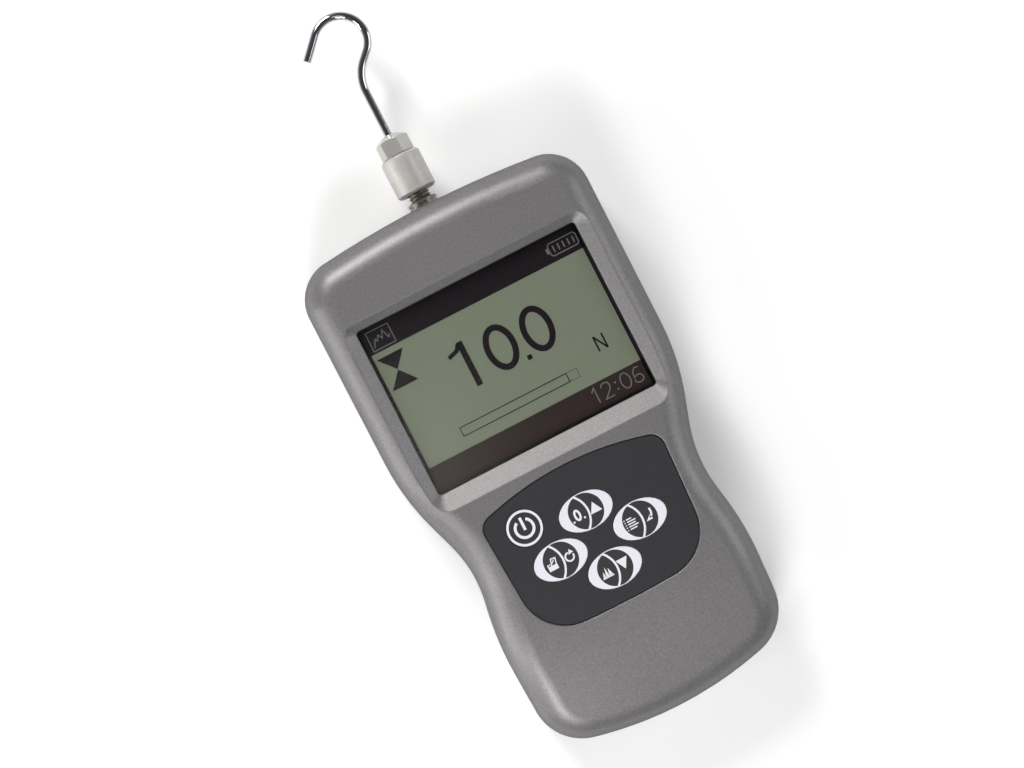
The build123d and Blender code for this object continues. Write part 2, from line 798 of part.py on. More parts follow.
# (x, y, length, width, height), above the board and below it
chips_above = (
    (0, display_socket_y - 2.0, display_ribbon_width + 2, 4.0, 2.0),
    (0, tail_socket_y - 2.0, tail_width + 3, 4.0, 2.6),
    (-12, keypad_top_y - 22.0, 12.0, 12.0, 1.4),
    (10, keypad_top_y - 20.0, 7.5, 10.0, 1.6),
    (18, keypad_top_y - 34.0, 9.0, 3.5, 3.2),
    (-16, keypad_top_y - 38.0, 5.0, 4.0, 1.2),
)
chips_below = (
    (-8, keypad_top_y - 4.0, 8.0, 6.0, 1.5),
    (12, keypad_top_y - 3.0, 7.0, 7.0, 2.2),
    (-28, keypad_top_y + 4.0, 5.0, 4.0, 1.6),
)
with BuildPart() as board_chips:
    for x, y, length, width, height in chips_above:
        with BuildSketch(Plane.XY.offset(board_top_z)):
            with Locations((x, y)):
                Rectangle(length, width)
        extrude(amount=height)
    for x, y, length, width, height in chips_below:
        with BuildSketch(Plane.XY.offset(board_bottom_z)):
            with Locations((x, y)):
                Rectangle(length, width)
        extrude(amount=-height)
board_chips.part.label = "board_chips"

with BuildPart() as buzzer:
    with BuildSketch(Plane.XY.offset(board_bottom_z)):
        with Locations(buzzer_place):
            Circle(buzzer_diameter / 2)
    extrude(amount=-buzzer_height)
    with BuildSketch(Plane.XY.offset(board_bottom_z - buzzer_height)):
        with Locations(buzzer_place):
            Circle(1.0)
    extrude(amount=1.0, mode=Mode.SUBTRACT)
buzzer.part.label = "buzzer"

with BuildPart() as clock_cell:
    with BuildSketch(Plane.XY.offset(board_bottom_z - clock_holder_floor)):
        with Locations(clock_cell_place):
            Circle(clock_cell_diameter / 2)
    extrude(amount=-clock_cell_height)
clock_cell.part.label = "clock_cell"

with BuildPart() as clock_cell_holder:
    with BuildSketch(Plane.XY.offset(board_bottom_z)):
        with Locations(clock_cell_place):
            Circle(clock_cell_diameter / 2 + 1.2)
    extrude(amount=-(clock_holder_floor + clock_cell_height * 0.8))
    with BuildSketch(Plane.XY.offset(board_bottom_z - clock_holder_floor)):
        with Locations(clock_cell_place):
            Circle(clock_cell_diameter / 2 + 0.15)
    extrude(amount=-clock_cell_height, mode=Mode.SUBTRACT)
clock_cell_holder.part.label = "clock_cell_holder"

with BuildPart() as power_socket:
    with BuildSketch(Plane.XY.offset(board_bottom_z)):
        with Locations((jack_x, jack_face_y)):
            Rectangle(jack_width, jack_length, align=(Align.CENTER, Align.MIN))
    extrude(amount=-jack_height)
    with BuildSketch(across_axis(jack_face_y)):
        with Locations((jack_x, split_height - jack_z)):
            Circle(jack_bore / 2)
            Circle(jack_pin / 2, mode=Mode.SUBTRACT)
    extrude(amount=jack_length - 3, mode=Mode.SUBTRACT)
power_socket.part.label = "power_socket"

with BuildPart() as usb_socket:
    with BuildSketch(across_axis(usb_face_y)):
        with Locations((usb_x, split_height - usb_z)):
            Rectangle(usb_width, usb_height)
    extrude(amount=usb_length)
    with BuildSketch(across_axis(usb_face_y)):
        with Locations((usb_x, split_height - usb_z)):
            Rectangle(usb_width - 2 * usb_shell, usb_height - 2 * usb_shell)
            Rectangle(usb_width - 4.0, usb_height * 0.3, mode=Mode.SUBTRACT)
    extrude(amount=usb_length - 2, mode=Mode.SUBTRACT)
usb_socket.part.label = "usb_socket"

# ---------------------------------------------------------------- load cell and bracket
with BuildPart() as load_cell:
    with BuildSketch(Plane.XY.offset(split_height - cell_thickness / 2)):
        with Locations((0, cell_eye_y)):
            Rectangle(cell_width, cell_length)
        # the two slots that turn the block into an S, each open on one side
        with Locations((-cell_web, cell_top_y - cell_arm - cell_slot / 2)):
            Rectangle(cell_width, cell_slot, mode=Mode.SUBTRACT)
        with Locations((cell_web, cell_bottom_y + cell_arm + cell_slot / 2)):
            Rectangle(cell_width, cell_slot, mode=Mode.SUBTRACT)
        with Locations((0, cell_eye_y)):
            Circle(cell_eye_diameter / 2, mode=Mode.SUBTRACT)
    extrude(amount=cell_thickness)
    with BuildSketch(across_axis(cell_top_y - cell_arm - cell_slot)):
        Circle(shaft_diameter / 2 + shaft_clearance)
    extrude(amount=cell_arm + cell_slot + 1, mode=Mode.SUBTRACT)
    with BuildSketch(across_axis(cell_bottom_y - 1)):
        Circle(bolt_diameter / 2 + thread_fit)
    extrude(amount=cell_arm + 1, mode=Mode.SUBTRACT)
load_cell.part.label = "load_cell"

with BuildPart() as strain_gauges:
    eye_radius = cell_eye_diameter / 2
    with BuildSketch(Plane.XY.offset(split_height - cell_thickness / 4)):
        with Locations((0, cell_eye_y)):
            Circle(eye_radius - 0.1)
            Circle(eye_radius - 0.1 - gauge_foil, mode=Mode.SUBTRACT)
            for angle in (0, 90):
                Rectangle(3 * eye_radius, eye_radius, rotation=angle, mode=Mode.SUBTRACT)
    extrude(amount=cell_thickness / 2)
strain_gauges.part.label = "strain_gauges"

with BuildPart() as cell_bracket:
    with BuildSketch(Plane.YZ.offset(-bracket_width / 2)):
        with BuildLine():
            base_top_z = bracket_pad_height + bracket_base
            Polyline(
                (bracket_face_y, bracket_pad_height),
                (bracket_face_y, split_height + cell_thickness / 2),
                (bracket_face_y - bracket_upright, split_height + cell_thickness / 2),
                (bracket_face_y - bracket_upright, base_top_z),
                (bracket_face_y - bracket_length, base_top_z),
                (bracket_face_y - bracket_length, bracket_pad_height),
                close=True,
            )
        make_face()
    extrude(amount=bracket_width)
    with BuildSketch(across_axis(bracket_face_y - bracket_upright - 1)):
        Circle(bolt_diameter / 2 + bracket_clearance)
    extrude(amount=bracket_upright + 2, mode=Mode.SUBTRACT)
    with Locations(Plane.XY.offset(base_top_z)):
        with Locations(*bracket_screws_xy):
            Hole(bracket_screw_diameter / 2 + bracket_clearance, bracket_base)
cell_bracket.part.label = "cell_bracket"

with BuildPart() as bracket_screws:
    with BuildSketch(Plane.XY.offset(base_top_z)):
        with Locations(*bracket_screws_xy):
            Circle(bracket_screw_head / 2)
    extrude(amount=bracket_screw_diameter * 0.6)
    with BuildSketch(Plane.XY.offset(base_top_z)):
        with Locations(*bracket_screws_xy):
            Circle(bracket_screw_diameter / 2)
    extrude(amount=wall - base_top_z)
bracket_screws.part.label = "bracket_screws"

with BuildPart() as cell_bolt:
    head_y = bracket_face_y - bracket_upright - bolt_head_height
    with BuildSketch(across_axis(head_y)):
        Circle(bolt_head_diameter / 2)
    extrude(amount=bolt_head_height)
    with BuildSketch(across_axis(head_y + bolt_head_height)):
        Circle(bolt_diameter / 2)
    extrude(amount=bracket_upright + cell_arm - 1)
    with BuildSketch(across_axis(head_y)):
        RegularPolygon(bolt_socket_flats / 2, 6, major_radius=False)
    extrude(amount=bolt_head_height * 0.6, mode=Mode.SUBTRACT)
cell_bolt.part.label = "cell_bolt"

with BuildPart() as cell_connector:
    with BuildSketch(Plane.XY.offset(board_bottom_z)):
        with Locations((connector_x, connector_y)):
            Rectangle(connector_width, connector_length)
    extrude(amount=-connector_height)
cell_connector.part.label = "cell_connector"

with BuildPart() as load_cell_lead:
    with BuildSketch(Plane.XY.offset(split_height - lead_width / 2)):
        with BuildLine() as lead_route:
            FilletPolyline(
                (-cell_width / 2, cell_eye_y),
                (connector_x, cell_eye_y),
                (connector_x, connector_y),
                radius=4.5,
            )
        trace(lead_route.line, lead_thickness)
    extrude(amount=lead_width)
    with BuildSketch(Plane.XY.offset(split_height - lead_width / 2)):
        with Locations((connector_x, connector_y)):
            Rectangle(lead_thickness, lead_width)
    extrude(amount=board_bottom_z - connector_height - split_height + lead_width / 2)
load_cell_lead.part.label = "load_cell_lead"

# ---------------------------------------------------------------- shaft, bush and hook
with BuildPart() as guide_bush:
    flange_end_y = inner_top_y - bush_play
    with BuildSketch(across_axis(flange_end_y - bush_flange_length)):
        Circle(bush_flange_diameter / 2)
    extrude(amount=bush_flange_length)
    with BuildSketch(across_axis(flange_end_y)):
        Circle(bush_neck_diameter / 2)
    extrude(amount=collar_end_y - flange_end_y)
    # two ridges on the collar
    with BuildSketch(across_axis(half_length + bush_collar_length * 0.45)):
        Circle(bush_neck_diameter / 2)
        Circle(bush_neck_diameter / 2 - 0.5, mode=Mode.SUBTRACT)
    extrude(amount=bush_collar_length * 0.2, mode=Mode.SUBTRACT)
    chamfer(guide_bush.edges().group_by(Axis.Y)[-1], 0.3)
    with BuildSketch(across_axis(flange_end_y - bush_flange_length)):
        Circle(shaft_diameter / 2 + shaft_clearance)
    extrude(amount=2 * bush_flange_length + wall + 2 * bush_collar_length, mode=Mode.SUBTRACT)
guide_bush.part.label = "guide_bush"

with BuildPart() as measuring_shaft:
    with BuildSketch(across_axis(shaft_end_y)):
        Circle(shaft_diameter / 2)
    extrude(amount=shaft_tip_y - shaft_end_y)
    chamfer(measuring_shaft.edges().group_by(Axis.Y)[-1], 0.6)
measuring_shaft.part.label = "measuring_shaft"

with BuildPart() as shaft_locknut:
    with BuildSketch(across_axis(cell_top_y + shaft_travel + nut_gap)):
        RegularPolygon(nut_across_flats / 2, 6, major_radius=False)
        Circle(shaft_diameter / 2 + thread_fit, mode=Mode.SUBTRACT)
    extrude(amount=nut_height)
shaft_locknut.part.label = "shaft_locknut"

with BuildPart() as hook_sleeve:
    with BuildSketch(across_axis(sleeve_y)):
        Circle(sleeve_diameter / 2)
    extrude(amount=sleeve_length)
    rims = hook_sleeve.edges().filter_by(GeomType.CIRCLE)
    chamfer(rims, sleeve_chamfer)
    with BuildSketch(across_axis(sleeve_y)):
        Circle(shaft_diameter / 2 + sleeve_fit)
    extrude(amount=sleeve_length, mode=Mode.SUBTRACT)
hook_sleeve.part.label = "hook_sleeve"

with BuildPart() as hook_hex_base:
    with BuildSketch(across_axis(sleeve_end_y)):
        RegularPolygon(hex_across_flats / 2, 6, major_radius=False, rotation=-hex_turn)
    extrude(amount=hex_height)
    # the top of the hexagon is turned down to a dome
    with BuildSketch(Plane.XY.offset(split_height)):
        with BuildLine():
            hex_corner = hex_across_flats / 2 / cos(radians(30))
            crown = Line((hex_corner, hex_end_y - hex_dome), (wire_diameter * 0.8, hex_end_y))
            Polyline(
                crown @ 1,
                (0, hex_end_y),
                (0, sleeve_end_y),
                (hex_corner, sleeve_end_y),
                crown @ 0,
            )
        make_face()
    revolve(axis=force_axis, mode=Mode.INTERSECT)
    with BuildSketch(across_axis(sleeve_end_y)):
        Circle(sleeve_diameter / 2)
        Circle(hex_across_flats / 2 - hex_relief, mode=Mode.SUBTRACT)
    extrude(amount=hex_relief, mode=Mode.SUBTRACT)
    with BuildSketch(across_axis(hex_end_y - wire_socket_depth)):
        Circle(wire_diameter / 2 + wire_clearance)
    extrude(amount=wire_socket_depth + 1, mode=Mode.SUBTRACT)
hook_hex_base.part.label = "hook_hex_base"

# the wire leans out by the neck's arc, then turns round the hook's centre
lean = radians(hook_neck_angle)
neck_run = (hook_radius * cos(lean) - hook_neck_radius * (1 - cos(lean))) / sin(lean)
neck_start_y = hook_centre_y - (hook_radius + hook_neck_radius) * sin(lean) - neck_run * cos(lean)
hook_sweep = 90 + hook_neck_angle + hook_mouth_angle
with BuildPart() as hook_wire:
    with BuildLine(Plane.XY.offset(split_height)) as hook_path:
        stem = Line((0, hex_end_y - wire_socket_depth), (0, neck_start_y))
        neck = JernArc(stem @ 1, (0, 1), hook_neck_radius, -hook_neck_angle)
        run = PolarLine(neck @ 1, neck_run, 90 - hook_neck_angle)
        bow = JernArc(run @ 1, run % 1, hook_radius, hook_sweep)
        tip = Line(bow @ 1, (bow @ 1) + (bow % 1) * hook_tip_length)
    with BuildSketch(across_axis(hex_end_y - wire_socket_depth)):
        Circle(wire_diameter / 2)
    sweep(path=hook_path.line)
hook_wire.part.label = "hook_wire"

# ---------------------------------------------------------------- batteries and their door
with BuildPart() as battery_tray:
    tray_outer_half = tray_inner_half + tray_wall
    with BuildSketch(Plane.XY.offset(deck_top_z)):
        with Locations((0, battery_y)):
            Rectangle(2 * tray_outer_half, tray_inner_length + 2 * tray_wall)
    extrude(amount=tray_top_z - deck_top_z)
    with BuildSketch(Plane.XY.offset(deck_top_z)):
        with Locations((0, battery_y)):
            Rectangle(2 * tray_inner_half, tray_inner_length)
    extrude(amount=tray_top_z - tray_wall - deck_top_z, mode=Mode.SUBTRACT)
    # ribs between the cells, hanging from the tray's roof
    with BuildSketch(Plane.XY.offset(tray_top_z - tray_wall - tray_rib)):
        with GridLocations(2 * tray_inner_half - 16, 1, 2, 1):
            for row in battery_rows[:-1]:
                with Locations((0, row + battery_pitch / 2)):
                    Rectangle(6.0, battery_pitch - battery_diameter - 0.1)
    extrude(amount=tray_rib + tray_wall / 2)
battery_tray.part.label = "battery_tray"

with BuildPart() as battery_cells:
    for i, row in enumerate(battery_rows):
        turn = 1 if i % 2 else -1
        start = Plane(origin=(-turn * battery_length / 2, row, battery_z), z_dir=(turn, 0, 0))
        with BuildSketch(start):
            Circle(battery_diameter / 2)
        extrude(amount=battery_body_length)
        with BuildSketch(start.offset(battery_body_length)):
            Circle(battery_nub_diameter / 2)
        extrude(amount=battery_nub_length)
battery_cells.part.label = "battery_cells"

with BuildPart() as battery_plates:
    for i, row in enumerate(battery_rows):
        for side in (-1, 1):
            with BuildSketch(Plane.YZ.offset(side * (tray_inner_half - contact_thickness / 2))):
                with Locations((row, battery_z)):
                    Rectangle(battery_diameter * 0.75, battery_diameter * 0.75)
            extrude(amount=contact_thickness / 2, both=True)
        # pressed dimple that meets the cell's nub
        side = 1 if i % 2 else -1
        with BuildSketch(Plane(origin=(side * battery_length / 2, row, battery_z), z_dir=(side, 0, 0))):
            Circle(battery_nub_diameter / 2)
        extrude(amount=contact_room - contact_thickness)
battery_plates.part.label = "battery_plates"

with BuildPart() as battery_springs:
    for i, row in enumerate(battery_rows):
        side = -1 if i % 2 else 1
        plate_x = side * (tray_inner_half - contact_thickness)
        touch_x = side * (battery_length / 2 + contact_thickness)
        with BuildSketch(Plane.XY.offset(battery_z - 2.0)):
            with BuildLine() as leaf:
                Spline(
                    (plate_x, row - 4.5),
                    (touch_x, row),
                    (plate_x, row + 4.5),
                )
                Line((plate_x, row + 4.5), (plate_x, row - 4.5))
            make_face()
        extrude(amount=4.0)
battery_springs.part.label = "battery_springs"

with BuildPart() as battery_terminals:
    for side in (-1, 1):
        with BuildSketch(Plane.XZ.offset(-battery_rows[-1] - terminal_width / 2)):
            with BuildLine() as tab:
                FilletPolyline(
                    (side * (tray_outer_half + contact_thickness / 2), battery_z),
                    (side * (tray_outer_half + contact_thickness / 2), tray_top_z + 1.5),
                    (side * terminal_x, tray_top_z + 1.5),
                    (side * terminal_x, board_bottom_z),
                    radius=1.0,
                )
            trace(tab.line, contact_thickness)
        extrude(amount=terminal_width)
battery_terminals.part.label = "battery_terminals"

with BuildPart() as battery_door:
    for half, low_z, high_z in (
        (door_width / 2, 0.0, door_thickness / 2),
        (flange_half, door_thickness / 2, door_thickness),
    ):
        with BuildSketch(Plane.XY.offset(low_z)):
            with Locations((0, door_top_y)):
                Rectangle(2 * half, body_length, align=(Align.CENTER, Align.MAX))
        extrude(amount=high_z - low_z)
    add(rear_outer, mode=Mode.INTERSECT)
    # thumb grip: grooves across the outer face
    with BuildSketch():
        for i in range(grip_count):
            with Locations((0, door_top_y - grip_from_top - i * grip_pitch)):
                SlotOverall(grip_width - 2 * abs(i - (grip_count - 1) / 2) * grip_taper, grip_pitch / 2)
    extrude(amount=grip_depth, mode=Mode.SUBTRACT)
battery_door.part.label = "battery_door"

# ---------------------------------------------------------------- files
pieces = [
    front_cover, rear_cover, cover_screws, display_window, window_tape, display_gasket, lcd_glass,
    lcd_backlight, lcd_frame, lcd_flex, keypad_circuit, key_domes, keypad_overlay, keypad_tail,
    main_board, board_screws, board_chips, buzzer, clock_cell, clock_cell_holder, power_socket,
    usb_socket, load_cell, strain_gauges, cell_bracket, bracket_screws, cell_bolt, cell_connector,
    load_cell_lead, guide_bush, measuring_shaft, shaft_locknut, hook_sleeve, hook_hex_base, hook_wire,
    battery_tray, battery_cells, battery_plates, battery_springs, battery_terminals, battery_door,
]
for piece in [each.part for each in pieces] + list(keys.values()):
    export_step(piece, f"parts/{piece.label}.step")
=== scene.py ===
import math

import bpy
import numpy as np
from mathutils import Matrix, Vector


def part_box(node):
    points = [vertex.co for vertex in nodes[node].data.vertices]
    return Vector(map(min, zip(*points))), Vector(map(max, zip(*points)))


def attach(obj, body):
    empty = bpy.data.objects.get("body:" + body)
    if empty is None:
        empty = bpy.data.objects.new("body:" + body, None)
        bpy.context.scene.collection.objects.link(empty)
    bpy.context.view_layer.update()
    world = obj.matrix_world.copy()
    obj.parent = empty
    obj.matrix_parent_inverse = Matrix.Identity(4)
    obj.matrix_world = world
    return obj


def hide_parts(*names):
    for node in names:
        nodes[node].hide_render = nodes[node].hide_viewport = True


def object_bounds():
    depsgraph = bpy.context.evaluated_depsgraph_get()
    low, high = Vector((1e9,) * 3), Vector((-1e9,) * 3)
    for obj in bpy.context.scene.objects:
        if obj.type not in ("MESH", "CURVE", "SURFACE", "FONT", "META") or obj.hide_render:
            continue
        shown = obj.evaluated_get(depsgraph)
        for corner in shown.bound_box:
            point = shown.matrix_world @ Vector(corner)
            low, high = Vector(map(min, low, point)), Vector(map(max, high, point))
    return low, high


mm = 0.001
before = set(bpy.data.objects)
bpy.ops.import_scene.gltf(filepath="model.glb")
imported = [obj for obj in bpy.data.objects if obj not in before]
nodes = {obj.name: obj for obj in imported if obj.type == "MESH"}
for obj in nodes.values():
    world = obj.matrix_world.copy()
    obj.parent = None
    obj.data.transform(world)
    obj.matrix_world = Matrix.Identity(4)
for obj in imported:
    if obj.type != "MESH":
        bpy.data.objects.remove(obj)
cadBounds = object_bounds()


def boxOf(name):
    # a node's lowest and highest corners, and its middle, in millimetres
    low, high = (np.array(corner, float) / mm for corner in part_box(name))
    return low, high, (low + high) / 2


# node groups

speckle = {
    "fine": (3600.0, 1.0),  # scale and detail of the noise
    "coarse": (1300.0, 2.0),
    "drift": (18.0, 2.0),
    "fineShare": 0.6,
    "coarseShare": 0.4,
    "speckGain": 2.0,
    "driftGain": 0.35,
    "roughGain": 0.08,
}
turning = {
    "rings": (1.0, 3.0),
    "stretch": (40.0, 2600.0, 40.0),  # packs the noise tightly along the force axis alone
    "blotch": (260.0, 2.0),
    "ringGain": 1.4,
    "blotchGain": 0.9,
    "roughGain": 0.12,
}


def newGroup(name):
    # an empty group that takes a colour, a contrast and a roughness, and gives a colour,
    # a roughness and a height for the bump
    group = bpy.data.node_groups.new(name, "ShaderNodeTree")
    for direction, label, kind in (
        ("INPUT", "Colour", "NodeSocketColor"),
        ("INPUT", "Contrast", "NodeSocketFloat"),
        ("INPUT", "Roughness", "NodeSocketFloat"),
        ("OUTPUT", "Colour", "NodeSocketColor"),
        ("OUTPUT", "Roughness", "NodeSocketFloat"),
        ("OUTPUT", "Height", "NodeSocketFloat"),
    ):
        group.interface.new_socket(name=label, in_out=direction, socket_type=kind)
    return group, group.nodes.new("NodeGroupInput"), group.nodes.new("NodeGroupOutput")


def mathNode(tree, operation, first, second):
    # one operation on two values, each a number or another node's socket
    node = tree.nodes.new("ShaderNodeMath")
    node.operation = operation
    for socket, value in zip(node.inputs, (first, second)):
        if isinstance(value, bpy.types.NodeSocket):
            tree.links.new(value, socket)
        else:
            socket.default_value = value
    return node.outputs[0]


def aboutZero(tree, value, gain):
    # the value less one half, times the gain
    return mathNode(tree, "MULTIPLY", mathNode(tree, "SUBTRACT", value, 0.5), gain)


def noiseNode(tree, scale, detail, vector):
    # noise of a scale and detail, read at a place
    node = tree.nodes.new("ShaderNodeTexNoise")
    node.inputs["Scale"].default_value = scale
    node.inputs["Detail"].default_value = detail
    tree.links.new(vector, node.inputs["Vector"])
    return node.outputs["Fac"]


def timesGrey(tree, colour, gain):
    # the colour with its red, green and blue all multiplied by the gain
    grey = tree.nodes.new("ShaderNodeCombineColor")
    for socket in grey.inputs[:3]:
        tree.links.new(gain, socket)
    mix = tree.nodes.new("ShaderNodeMix")
    mix.data_type = "RGBA"
    mix.blend_type = "MULTIPLY"
    inputs = {socket.identifier: socket for socket in mix.inputs}
    inputs["Factor_Float"].default_value = 1.0
    tree.links.new(colour, inputs["A_Color"])
    tree.links.new(grey.outputs[0], inputs["B_Color"])
    return next(socket for socket in mix.outputs if socket.identifier == "Result_Color")


def closeGroup(group, source, sink, tone, roughTone, height):
    # the colour times one plus contrast times tone, and the roughness plus its own tone
    gain = mathNode(group, "ADD", mathNode(group, "MULTIPLY", tone, source.outputs["Contrast"]), 1.0)
    results = {
        "Colour": timesGrey(group, source.outputs["Colour"], gain),
        "Roughness": mathNode(group, "ADD", source.outputs["Roughness"], roughTone),
        "Height": height,
    }
    for label, value in results.items():
        group.links.new(value, sink.inputs[label])
    return group


def makeGrainGroup():
    # two sizes of speckle, each times its share and added, with a slow drift of tone over them
    group, source, sink = newGroup("speckleGrain")
    place = group.nodes.new("ShaderNodeTexCoord").outputs["Object"]
    fine = noiseNode(group, *speckle["fine"], place)
    coarse = noiseNode(group, *speckle["coarse"], place)
    drift = noiseNode(group, *speckle["drift"], place)
    fineShare = mathNode(group, "MULTIPLY", fine, speckle["fineShare"])
    coarseShare = mathNode(group, "MULTIPLY", coarse, speckle["coarseShare"])
    height = mathNode(group, "ADD", fineShare, coarseShare)
    specks = aboutZero(group, height, speckle["speckGain"])
    tone = mathNode(group, "ADD", specks, aboutZero(group, drift, speckle["driftGain"]))
    roughTone = mathNode(group, "MULTIPLY", specks, speckle["roughGain"])
    return closeGroup(group, source, sink, tone, roughTone, height)


def makeTurnedGroup():
    # fine rings round the force axis, as a lathe leaves them, with a faint blotch over them
    group, source, sink = newGroup("turnedMarks")
    place = group.nodes.new("ShaderNodeTexCoord").outputs["Object"]
    stretch = group.nodes.new("ShaderNodeMapping")
    stretch.inputs["Scale"].default_value = turning["stretch"]
    group.links.new(place, stretch.inputs["Vector"])
    rings = noiseNode(group, *turning["rings"], stretch.outputs["Vector"])
    blotch = noiseNode(group, *turning["blotch"], place)
    ringTone = aboutZero(group, rings, turning["ringGain"])
    tone = mathNode(group, "ADD", ringTone, aboutZero(group, blotch, turning["blotchGain"]))
    roughTone = mathNode(group, "MULTIPLY", tone, turning["roughGain"])
    return closeGroup(group, source, sink, tone, roughTone, rings)


grainGroup = makeGrainGroup()
turnedGroup = makeTurnedGroup()
print("node groups made")


# materials

finishing = {
    "coatRoughness": 0.1,
    "edgeSamples": 6,
}


def bumpFrom(tree, height, strength, distance, soft):
    # a bump from a height, over edges rounded off to the radius soft
    node = tree.nodes.new("ShaderNodeBump")
    node.inputs["Strength"].default_value = strength
    node.inputs["Distance"].default_value = distance
    tree.links.new(height, node.inputs["Height"])
    if soft:
        rounded = tree.nodes.new("ShaderNodeBevel")
        rounded.samples = finishing["edgeSamples"]
        rounded.inputs["Radius"].default_value = soft
        tree.links.new(rounded.outputs["Normal"], node.inputs["Normal"])
    return node.outputs["Normal"]


def lensShare(tree, ior):
    # the share of light that the outer face reflects; the inner face gives none
    share = tree.nodes.new("ShaderNodeFresnel")
    share.inputs["IOR"].default_value = ior
    inside = tree.nodes.new("ShaderNodeNewGeometry").outputs["Backfacing"]
    outside = mathNode(tree, "SUBTRACT", 1.0, inside)
    return mathNode(tree, "MULTIPLY", share.outputs["Fac"], outside)


def finish(name, colour, roughness, contrast, bump, group=grainGroup, metallic=0.0, depth=0.00002,
           coat=0.0, soft=0.0, ior=1.45, lens=False, edge=1.0, gloss=0.5):
    # colour, roughness and bump from a group's marks, and the rest as even values
    material = bpy.data.materials.new(name)
    material.use_nodes = True
    tree = material.node_tree
    shader = tree.nodes["Principled BSDF"]
    marks = tree.nodes.new("ShaderNodeGroup")
    marks.node_tree = group
    marks.inputs["Colour"].default_value = (*colour, 1)
    marks.inputs["Contrast"].default_value = contrast
    marks.inputs["Roughness"].default_value = roughness
    tree.links.new(marks.outputs["Colour"], shader.inputs["Base Color"])
    if bump:
        normal = bumpFrom(tree, marks.outputs["Height"], bump, depth, soft)
        tree.links.new(normal, shader.inputs["Normal"])
    shader.inputs["Metallic"].default_value = metallic
    shader.inputs["Coat Weight"].default_value = coat
    shader.inputs["Coat Roughness"].default_value = finishing["coatRoughness"]
    shader.inputs["IOR"].default_value = ior
    shader.inputs["Specular IOR Level"].default_value = gloss
    shader.inputs["Specular Tint"].default_value = (edge, edge, edge, 1)
    if lens:
        # only what the face reflects is shown, and the rest passes straight through
        shader.inputs["Roughness"].default_value = roughness
        tree.links.new(lensShare(tree, ior), shader.inputs["Alpha"])
    else:
        tree.links.new(marks.outputs["Roughness"], shader.inputs["Roughness"])
    return material


finishValues = {
    "bodyPaint": dict(colour=(0.245, 0.238, 0.240), metallic=0.6, roughness=0.45, contrast=0.62,
                      bump=0.34, depth=0.00005, soft=0.0008, edge=0.15),
    "doorPaint": dict(colour=(0.245, 0.238, 0.240), metallic=0.55, roughness=0.47, contrast=0.62,
                      bump=0.34, depth=0.00005, soft=0.0005, edge=0.15),
    "overlayFilm": dict(colour=(0.026, 0.026, 0.031), roughness=0.5, contrast=0.4, bump=0.12, soft=0.0003),
    "keyFilm": dict(colour=(0.80, 0.80, 0.87), roughness=0.5, contrast=0.12, bump=0.05, soft=0.0002),
    "printWhite": dict(colour=(0.80, 0.80, 0.87), roughness=0.5, contrast=0.12, bump=0.05),
    "printDark": dict(colour=(0.034, 0.034, 0.038), roughness=0.45, contrast=0.3, bump=0.05),
    "lcdGround": dict(colour=(0.180, 0.206, 0.148), roughness=0.45, contrast=0.12, bump=0.0, gloss=0.1),
    "lcdDark": dict(colour=(0.008, 0.005, 0.008), roughness=0.6, contrast=0.2, bump=0.0, gloss=0.1),
    "lcdBrown": dict(colour=(0.027, 0.016, 0.016), roughness=0.6, contrast=0.2, bump=0.0, gloss=0.1),
    "lcdPale": dict(colour=(0.140, 0.140, 0.134), roughness=0.5, contrast=0.1, bump=0.0, gloss=0.1),
    "satinNickel": dict(colour=(0.57, 0.555, 0.53), group=turnedGroup, metallic=0.55, roughness=0.46,
                        contrast=0.24, bump=0.25, soft=0.0003),
    "brightNickel": dict(colour=(0.60, 0.585, 0.56), metallic=0.6, roughness=0.30, contrast=0.08,
                         bump=0.05, soft=0.0004),
    "brightChrome": dict(colour=(0.66, 0.67, 0.69), metallic=1.0, roughness=0.10, contrast=0.05, bump=0.0),
    "dullSteel": dict(colour=(0.27, 0.255, 0.22), group=turnedGroup, metallic=0.9, roughness=0.36,
                      contrast=0.5, bump=0.2),
    "zincScrew": dict(colour=(0.45, 0.45, 0.46), group=turnedGroup, metallic=1.0, roughness=0.35,
                      contrast=0.3, bump=0.1),
    "pressedSteel": dict(colour=(0.5, 0.5, 0.5), metallic=1.0, roughness=0.35, contrast=0.15, bump=0.05),
    "anodised": dict(colour=(0.6, 0.61, 0.62), metallic=1.0, roughness=0.42, contrast=0.12, bump=0.1),
    "blackPlastic": dict(colour=(0.022, 0.022, 0.022), roughness=0.55, contrast=0.3, bump=0.15),
    "whitePlastic": dict(colour=(0.75, 0.76, 0.74), roughness=0.4, contrast=0.06, bump=0.05),
    "greenBoard": dict(colour=(0.02, 0.13, 0.05), roughness=0.35, contrast=0.25, bump=0.1, coat=0.4),
    "amberFlex": dict(colour=(0.42, 0.18, 0.03), roughness=0.3, contrast=0.15, bump=0.05),
    "foam": dict(colour=(0.015, 0.015, 0.015), roughness=0.9, contrast=0.4, bump=0.4),
    "cellSleeve": dict(colour=(0.06, 0.065, 0.075), metallic=0.2, roughness=0.3, contrast=0.1, bump=0.05),
    "greyLead": dict(colour=(0.25, 0.25, 0.26), roughness=0.6, contrast=0.2, bump=0.15),
    "clearWindow": dict(colour=(0.96, 0.97, 0.96), metallic=1.0, roughness=0.15, contrast=0.02,
                        bump=0.0, ior=1.49, lens=True),
}
finishes = {name: finish(name, **values) for name, values in finishValues.items()}

